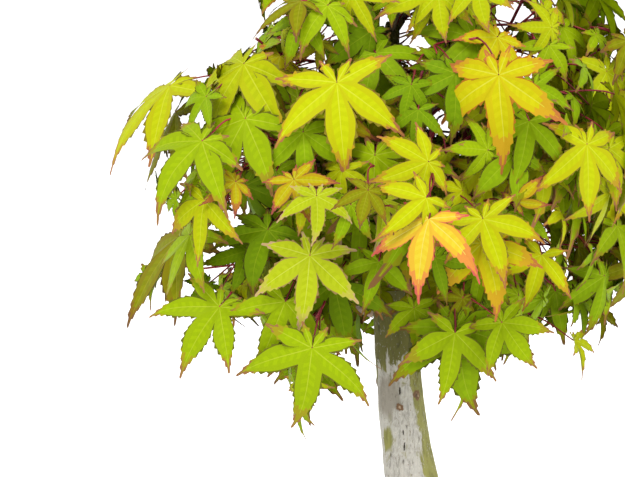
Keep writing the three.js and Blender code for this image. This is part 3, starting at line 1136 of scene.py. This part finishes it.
def trunk_bark(pale, olive):
    """Silvery bark low down, algae-green above and down the right side, with flecks, cracks and scars, and
    painted shade down its left flank.
    """
    n = Nodes("trunk_bark")
    spot = n.add("ShaderNodeSeparateXYZ", {0: n.place}).outputs
    speckle = n.noise((900, 900, 420), detail=5, rough=0.7)
    strand = n.noise((330, 330, 75), detail=5, rough=0.6, distortion=0.8)
    patch = n.noise((130, 130, 48), detail=6, rough=0.6, distortion=1.2)
    cloud = n.noise((60, 60, 40), detail=3, shift=(3, 1, 2))

    # The green: above an uneven line, and beyond a line down the right side of the leaning trunk.
    wobble = n.minus(patch, 0.5)

    def uneven(place, size, wander, low, high):
        return n.band(n.plus(n.near(place, size), n.times(wobble, wander)), low, high)

    above = n.plus(n.minus(spot[2], GREEN_ABOVE), n.times(wobble, 0.052))
    upper = n.band(above, -0.0012, 0.0016)
    across = n.plus(spot[0], n.times(spot[2], LINE_LEAN))
    beyond = n.plus(n.minus(across, GREEN_BEYOND), n.times(wobble, 0.013))
    beside = n.band(beyond, -0.0004, 0.0007)
    upper = n.times(upper, n.minus(1.0, uneven(*PALE_TONGUE)))
    back = n.band(n.plus(n.times(spot[1], 60.0), n.times(wobble, 3.0)), 0.1, 0.45)
    side = n.larger(beside, n.larger(uneven(*GREEN_BLOT), back))

    pale_light = [min(1.0, c * 1.22) for c in pale]
    brownish = [pale[0] * 0.5, pale[1] * 0.46, pale[2] * 0.4]
    silver = n.mix(n.band(strand, 0.34, 0.56), shade(pale, 0.62), pale)
    silver = n.mix(n.band(speckle, 0.5, 0.64), silver, pale_light)
    silver = n.mix(n.band(speckle, 0.42, 0.34), silver, brownish)
    # Painted shade: the left flank is darkened towards brown.
    silver = n.mix(n.times(uneven(*SHADED_LEFT_FLANK), 0.75), silver, brownish)
    olive_light = [olive[0] * 2.2, olive[1] * 2.25, olive[2] * 3.2]
    moss = n.mix(n.band(cloud, 0.38, 0.66), olive, shade(olive, 1.35))
    moss = n.mix(n.band(strand, 0.5, 0.66), moss, shade(olive, 0.62))
    fresh = n.mix(n.band(strand, 0.4, 0.62), olive_light, shade(olive_light, 0.72))
    fleck = n.band(n.noise((640, 640, 330), detail=4, rough=0.75, shift=(7, 2, 4)), 0.585, 0.64)
    thick = n.band(n.noise((90, 90, 40), detail=2, shift=(2, 6, 1)), 0.4, 0.6)
    fleck = n.times(fleck, n.plus(n.times(thick, 0.6), 0.3))
    disc = n.band(n.near(*PALE_DISC), 0.12, 0.22)
    fleck = n.larger(fleck, n.times(disc, 0.85))
    green = n.mix(upper, fresh, moss)
    green = n.mix(fleck, green, pale)
    color = n.mix(n.larger(upper, side), silver, green)

    cells = n.add("ShaderNodeTexVoronoi", {
        "Vector": n.stretched((300, 300, 110), (1, 5, 2)), "Scale": 1.0, "Randomness": 1.0,
    }).outputs["Distance"]
    sparse = n.band(n.noise((120, 120, 70), detail=2, shift=(9, 4, 6)), 0.55, 0.6)
    pit = n.times(n.minus(1.0, n.band(cells, 0.12, 0.24)), sparse)
    dark = n.times(pit, 0.85)
    ragged = n.times(n.minus(speckle, 0.5), 1.6)
    for place, width, rise in scar_points():
        if rise > 0:
            ring = n.plus(n.near(place, [width * 1.3] * 3), ragged)
            color = n.mix(n.band(ring, 0.2, 0.4), color, SCAR_RIM)
            color = n.mix(n.times(n.band(ring, 0.7, 0.85), 0.8), color, SCAR_WOOD)
        else:
            slit = n.plus(n.near(place, (width * 0.42, width, width * 1.5)), ragged)
            dark = n.larger(dark, n.band(slit, 0.25, 0.5))
    color = n.mix(dark, color, CRACK)

    rough = n.plus(n.times(upper, -0.06), 0.88)
    height = n.plus(n.times(strand, 0.55), n.times(speckle, 0.45))
    height = n.minus(height, n.times(dark, 0.8))
    return n.finish(color, rough, height, 0.0005)


def bough_bark(young):
    """Grey-brown young bark, lined across its length, with pale pores."""
    n = Nodes("bough_bark")
    cloud = n.noise((120, 120, 120), detail=4, rough=0.6)
    grain = n.noise((700, 700, 700), detail=5, rough=0.65)
    color = n.mix(n.band(cloud, 0.38, 0.64), shade(young, 0.6), shade(young, 1.5))
    color = n.mix(n.times(n.band(grain, 0.56, 0.7), 0.6), color, [min(1, c * 2.4) for c in young])
    rough = n.plus(n.times(grain, 0.2), 0.72)
    height = n.plus(n.times(cloud, 0.5), n.times(grain, 0.5))
    return n.finish(color, rough, height, 0.0004)


# ---- Bark with relief ----


def fine_skin(name, node, grain, smoothing):
    """A CAD limb's skin in small even faces, with its facets smoothed away."""
    mesh = bpy.data.meshes.new(name)
    shape = bmesh.new()
    shape.from_mesh(frame["nodes"][node].data)
    bmesh.ops.remove_doubles(shape, verts=shape.verts, dist=1e-6)
    shape.to_mesh(mesh)
    shape.free()
    rough = put(name + "_rough", mesh)
    remesh = rough.modifiers.new("Remesh", "REMESH")
    remesh.mode = "VOXEL"
    remesh.voxel_size = grain
    remesh.adaptivity = 0
    ease = rough.modifiers.new("Smooth", "SMOOTH")
    ease.factor = 0.5
    ease.iterations = smoothing
    depsgraph = bpy.context.evaluated_depsgraph_get()
    fine = bpy.data.meshes.new_from_object(rough.evaluated_get(depsgraph))
    fine.name = name
    bpy.data.objects.remove(rough)
    bpy.data.meshes.remove(mesh)
    fine.materials.clear()
    return fine


# Scars on the trunk: how far round from the front (to the right), height, width, and how far it stands
# out (a cut branch) or in (a slit).
SCARS = (
    (15, 69.5, 2.2, 0.8),
    (18, 77.5, 2.0, -0.6),
    (20, 57, 1.3, -0.5),
    (20, 50, 1.9, -0.6),
    (-84, 81, 1.7, 1.1),
    (62, 75, 2.6, 0.5),
    (150, 64, 3.2, 1.1),
    (-130, 96, 2.8, 1.0),
    (175, 38, 2.4, -0.9),
)


def scar_points():
    """Each scar's place on the trunk's skin, its width and its height, in metres."""
    found = []
    for turn, up, width, rise in SCARS:
        line = trunk_line(up * MM)
        angle = math.radians(turn - 90)
        ray = Vector((math.cos(angle), math.sin(angle), 0))
        hit = TRUNK_SKIN.ray_cast(line + ray * 0.1, -ray)[0]
        found.append((hit, width * MM, rise * MM))
    return found


def carve(mesh, moved):
    """Moves each corner of a skin to where moved puts it, and shades the skin smooth."""
    shape = bmesh.new()
    shape.from_mesh(mesh)
    shape.normal_update()
    places = [moved(vert) for vert in shape.verts]
    for vert, place in zip(shape.verts, places):
        vert.co = place
    for face in shape.faces:
        face.smooth = True
    shape.to_mesh(mesh)
    shape.free()
    return mesh


FOOT_FADE = 0.003  # height over which the relief sets in above the ground
FOOT_FLAT = 0.0006  # and below which the foot is pressed flat


def carve_trunk(mesh, relief):
    """Raises ribs, furrows and scars on the trunk's skin, and keeps its foot flat on the ground."""
    scars = scar_points()

    def moved(vert):
        p = vert.co
        rib = noise.noise(Vector((p.x * 240, p.y * 240, p.z * 45)))
        rib += 0.55 * noise.noise(Vector((p.x * 560, p.y * 560, p.z * 160 + 4)))
        swell = noise.noise(p * 62)
        lift = relief * (rib * 0.8 + swell * 1.3)
        for place, width, rise in scars:
            away = (p - place).length / width
            if away < 3:
                ring = math.exp(-away * away) - 0.75 * math.exp(-(away * 2.3) ** 2)
                lift += rise * (ring if rise > 0 else math.exp(-away * away * 1.5))
        place = p + vert.normal * lift * min(1.0, max(0.0, p.z / FOOT_FADE))
        if place.z < FOOT_FLAT:
            place.z = 0.0
        return place

    return carve(mesh, moved)


def carve_bough(mesh, relief):
    """Raises shallow wrinkles on a bough's skin."""
    def moved(vert):
        lift = noise.noise(vert.co * 210) + 0.6 * noise.noise(vert.co * 520)
        return vert.co + vert.normal * lift * relief * 0.6

    return carve(mesh, moved)


# ---- The operators, one for each piece or group of like pieces ----


BRANCH_SIDES, SHOOT_SIDES = 8, 6
STALK_POINTS = 8
WOODY = 2.6  # shoot radii at which a shoot has turned to brown wood
THIN, SHORT = 1.3, 9  # radii and points below which a shoot is bright red


class MAPLE_OT_trunk(bpy.types.Operator):
    """Cover the trunk with bark in relief"""

    bl_idname = "maple.trunk"
    bl_label = "Trunk Bark"

    def execute(self, context):
        bark = context.scene.maple_bark
        mesh = carve_trunk(fine_skin("trunk_bark", "trunk", bark.trunk_grain, 14), bark.relief)
        mesh.materials.append(trunk_bark(tuple(bark.pale), tuple(bark.olive)))
        show("trunk_bark", mesh, ["trunk"])
        return {"FINISHED"}


class MAPLE_OT_boughs(bpy.types.Operator):
    """Cover each bough with young bark"""

    bl_idname = "maple.boughs"
    bl_label = "Bough Bark"

    def execute(self, context):
        bark = context.scene.maple_bark
        material = bough_bark(tuple(bark.young))
        for node in BOUGHS:
            mesh = carve_bough(fine_skin(node + "_bark", node, bark.bough_grain, 8), bark.relief)
            mesh.materials.append(material)
            show(node + "_bark", mesh, [node])
        return {"FINISHED"}


class MAPLE_OT_shoots(bpy.types.Operator):
    """Grow the branches and the red shoots that carry the leaves"""

    bl_idname = "maple.shoots"
    bl_label = "Branches and Shoots"

    def execute(self, context):
        crown = crown_plan(context)
        bark, twigs = context.scene.maple_bark, context.scene.maple_twigs
        brown, red = Pile(), Pile()
        woody = WOODY * twigs.tip_radius
        for chain in crown.growth.chains:
            radii = [crown.radius[i] for i in chain]
            radii[0] = radii[1]
            points = [crown.growth.at[i] for i in chain]
            split = next((k for k, r in enumerate(radii) if r < woody), len(radii))
            if split > 0:
                stop = min(len(points), split + 1)
                brown.add_tube(points[:stop], radii[:stop], BRANCH_SIDES, 0 if radii[0] > woody else 1)
            if split < len(points) - 1:
                bright = radii[-1] < THIN * twigs.tip_radius and len(points) < SHORT
                red.add_tube(points[split:], radii[split:], SHOOT_SIDES, 0 if bright else 1)
        for points in crown.stubs:
            paints = red.add_tube(points, [twigs.tip_radius * 1.25] * len(points), BRANCH_SIDES, 1)
            paints[1 - 2 * BRANCH_SIDES::2] = 2  # the cut end, in pale wood
        young = tuple(bark.young)
        shoot = tuple(twigs.shoot)
        browns = [
            plain("branch_old", young, 0.8),
            plain("branch_young", [0.5 * a + 0.7 * b for a, b in zip(young, shoot)], 0.65),
        ]
        reds = [
            plain("shoot_bright", shade(shoot, 1.3), 0.4, 0.22),
            plain("shoot_dark", shade(shoot, 0.75), 0.42, 0.22),
            plain("cut_wood", (0.48, 0.36, 0.24), 0.8),
        ]
        show("branches", brown.mesh("branches", browns))
        show("shoots", red.mesh("shoots", reds))
        return {"FINISHED"}


class MAPLE_OT_stalks(bpy.types.Operator):
    """Run a thin red stalk from its shoot to each leaf"""

    bl_idname = "maple.stalks"
    bl_label = "Leaf Stalks"

    def execute(self, context):
        twigs = context.scene.maple_twigs
        rng = random.Random(twigs.seed + 2)
        pile = Pile()
        for leaf in crown_plan(context).leaves:
            straight = leaf.hub - leaf.base
            length = straight.length
            sway = Vector([rng.gauss(0, 0.2) for _ in range(3)])
            away = (straight.normalized() + UP * 0.3 + sway).normalized()
            arrive = (leaf.tip * 0.6 + leaf.face * 0.3 + straight.normalized() * 0.5).normalized()
            first = leaf.base + away * length * 0.35
            second = leaf.hub - arrive * length * 0.3
            shares = [k / (STALK_POINTS - 1) for k in range(STALK_POINTS)]
            points = [bezier(leaf.base, first, second, leaf.hub, share) for share in shares]
            radii = [twigs.stalk_radius * (1.5 if k == 0 else 1.0 - 0.02 * k) for k in range(STALK_POINTS)]
            pile.add_tube(points, radii, SHOOT_SIDES, rng.randrange(2))
        stalk = tuple(twigs.stalk)
        reds = [
            plain("stalk_dark", shade(stalk, 0.6), 0.45, 0.2),
            plain("stalk_bright", stalk, 0.45, 0.2),
        ]
        show("leaf_stalks", pile.mesh("leaf_stalks", reds))
        return {"FINISHED"}


class MAPLE_OT_leaves(bpy.types.Operator):
    """Hang the leaves, joined by tier of the crown and by tint"""

    bl_idname = "maple.leaves"
    bl_label = "Leaves"

    def execute(self, context):
        patterns = leaf_patterns()
        tier_of = {name: name.split("_")[1] for name in MASSES}
        groups = {}
        for leaf in crown_plan(context).leaves:
            tier = tier_of[mass_at(leaf.hub)]
            kind = next(k for k, tints in KINDS.items() if leaf.tint in tints)
            groups.setdefault((tier, kind), []).append(leaf)
        roughness = context.scene.maple_leaves.gloss
        paint = {kind: leaf_materials(tints, roughness) for kind, tints in KINDS.items()}
        for tier in TIERS:
            for kind, tints in KINDS.items():
                if (tier, kind) not in groups:
                    continue
                pile = Pile()
                for leaf in groups[tier, kind]:
                    corners, faces, zones = patterns[leaf.pattern]
                    pile.add(leaf_corners(leaf, corners), faces, zones + len(ZONES) * tints.index(leaf.tint))
                name = f"leaves_{tier}_{kind}"
                nodes = [n for n in MASSES if tier_of[n] == tier]
                show(name, pile.mesh(name, paint[kind]), nodes)
        return {"FINISHED"}


KEY_AT, FILL_AT = (-0.5, -1.25, 1.4), (1.3, -0.9, 0.7)
FILL_SHARE = 0.3  # of the key light's power
LIT_HEIGHT = 0.18  # what both lights aim at, on the crown's axis
FLOOR_GLOW = 0.35  # keeps the floor as pale as the room


def studio_light(name, place, aim, width, power):
    light = bpy.data.lights.new(name, "AREA")
    light.shape = "DISK"
    light.size = width
    light.energy = power
    lamp = put(name, light)
    lamp.location = place
    lamp.rotation_euler = (aim - Vector(place)).to_track_quat("-Z", "Y").to_euler()


class MAPLE_OT_stage(bpy.types.Operator):
    """Set the pale floor, the soft studio light and the camera"""

    bl_idname = "maple.stage"
    bl_label = "Stage"

    def execute(self, context):
        stage = context.scene.maple_stage
        shape = bmesh.new()
        bmesh.ops.create_grid(shape, x_segments=1, y_segments=1, size=12)
        mesh = bpy.data.meshes.new("floor")
        shape.to_mesh(mesh)
        shape.free()
        paper = plain("white_paper", (0.93, 0.93, 0.93), 0.9, 0.1)
        shader = paper.node_tree.nodes["Principled BSDF"]
        shader.inputs["Emission Color"].default_value = (1, 1, 1, 1)
        shader.inputs["Emission Strength"].default_value = FLOOR_GLOW
        mesh.materials.append(paper)
        floor = put("floor", mesh)

        world = bpy.data.worlds.new("white_room")
        world.use_nodes = True
        room = world.node_tree.nodes["Background"].inputs
        room["Color"].default_value = (1, 1, 1, 1)
        room["Strength"].default_value = stage.sky
        context.scene.world = world
        context.scene.view_settings.view_transform = "Standard"
        context.scene.view_settings.look = "None"

        centre = Vector((AXIS.x, AXIS.y, LIT_HEIGHT))
        studio_light("key", KEY_AT, centre, 0.7, stage.key)
        studio_light("fill", FILL_AT, centre, 0.9, stage.key * FILL_SHARE)

        camera = bpy.data.cameras.new("camera")
        camera.sensor_width = 36
        camera.lens = stage.lens
        eye = put("camera", camera)
        eye.location = EYE
        eye.rotation_euler = (AIM - EYE).to_track_quat("-Z", "Y").to_euler()
        context.scene.camera = eye
        return {"FINISHED"}


class MAPLE_PT_panel(bpy.types.Panel):
    """Lists the steps of the tree in order"""

    bl_label = "Maple Bonsai"
    bl_idname = "MAPLE_PT_panel"
    bl_space_type = "VIEW_3D"
    bl_region_type = "UI"
    bl_category = "Maple"

    def draw(self, context):
        for step in STEPS:
            self.layout.operator(step)
        for name in SETTINGS:
            group = getattr(context.scene, name)
            box = self.layout.box()
            for key in group.__annotations__:
                box.prop(group, key)


SETTINGS = {
    "maple_bark": BarkProperties,
    "maple_twigs": TwigProperties,
    "maple_leaves": LeafProperties,
    "maple_stage": StageProperties,
}
STEPS = ("maple.stage", "maple.trunk", "maple.boughs", "maple.shoots", "maple.stalks", "maple.leaves")
CLASSES = (
    *SETTINGS.values(),
    MAPLE_OT_stage,
    MAPLE_OT_trunk,
    MAPLE_OT_boughs,
    MAPLE_OT_shoots,
    MAPLE_OT_stalks,
    MAPLE_OT_leaves,
    MAPLE_PT_panel,
)


def register():
    for made in CLASSES:
        bpy.utils.register_class(made)
    for name, group in SETTINGS.items():
        setattr(bpy.types.Scene, name, PointerProperty(type=group))


def unregister():
    for name in SETTINGS:
        delattr(bpy.types.Scene, name)
    for made in reversed(CLASSES):
        bpy.utils.unregister_class(made)


def main():
    register()
    bpy.ops.maple.stage()
    bpy.ops.maple.trunk()
    bpy.ops.maple.boughs()
    bpy.ops.maple.shoots()
    bpy.ops.maple.stalks()
    bpy.ops.maple.leaves()


if __name__ == "__main__":
    main()
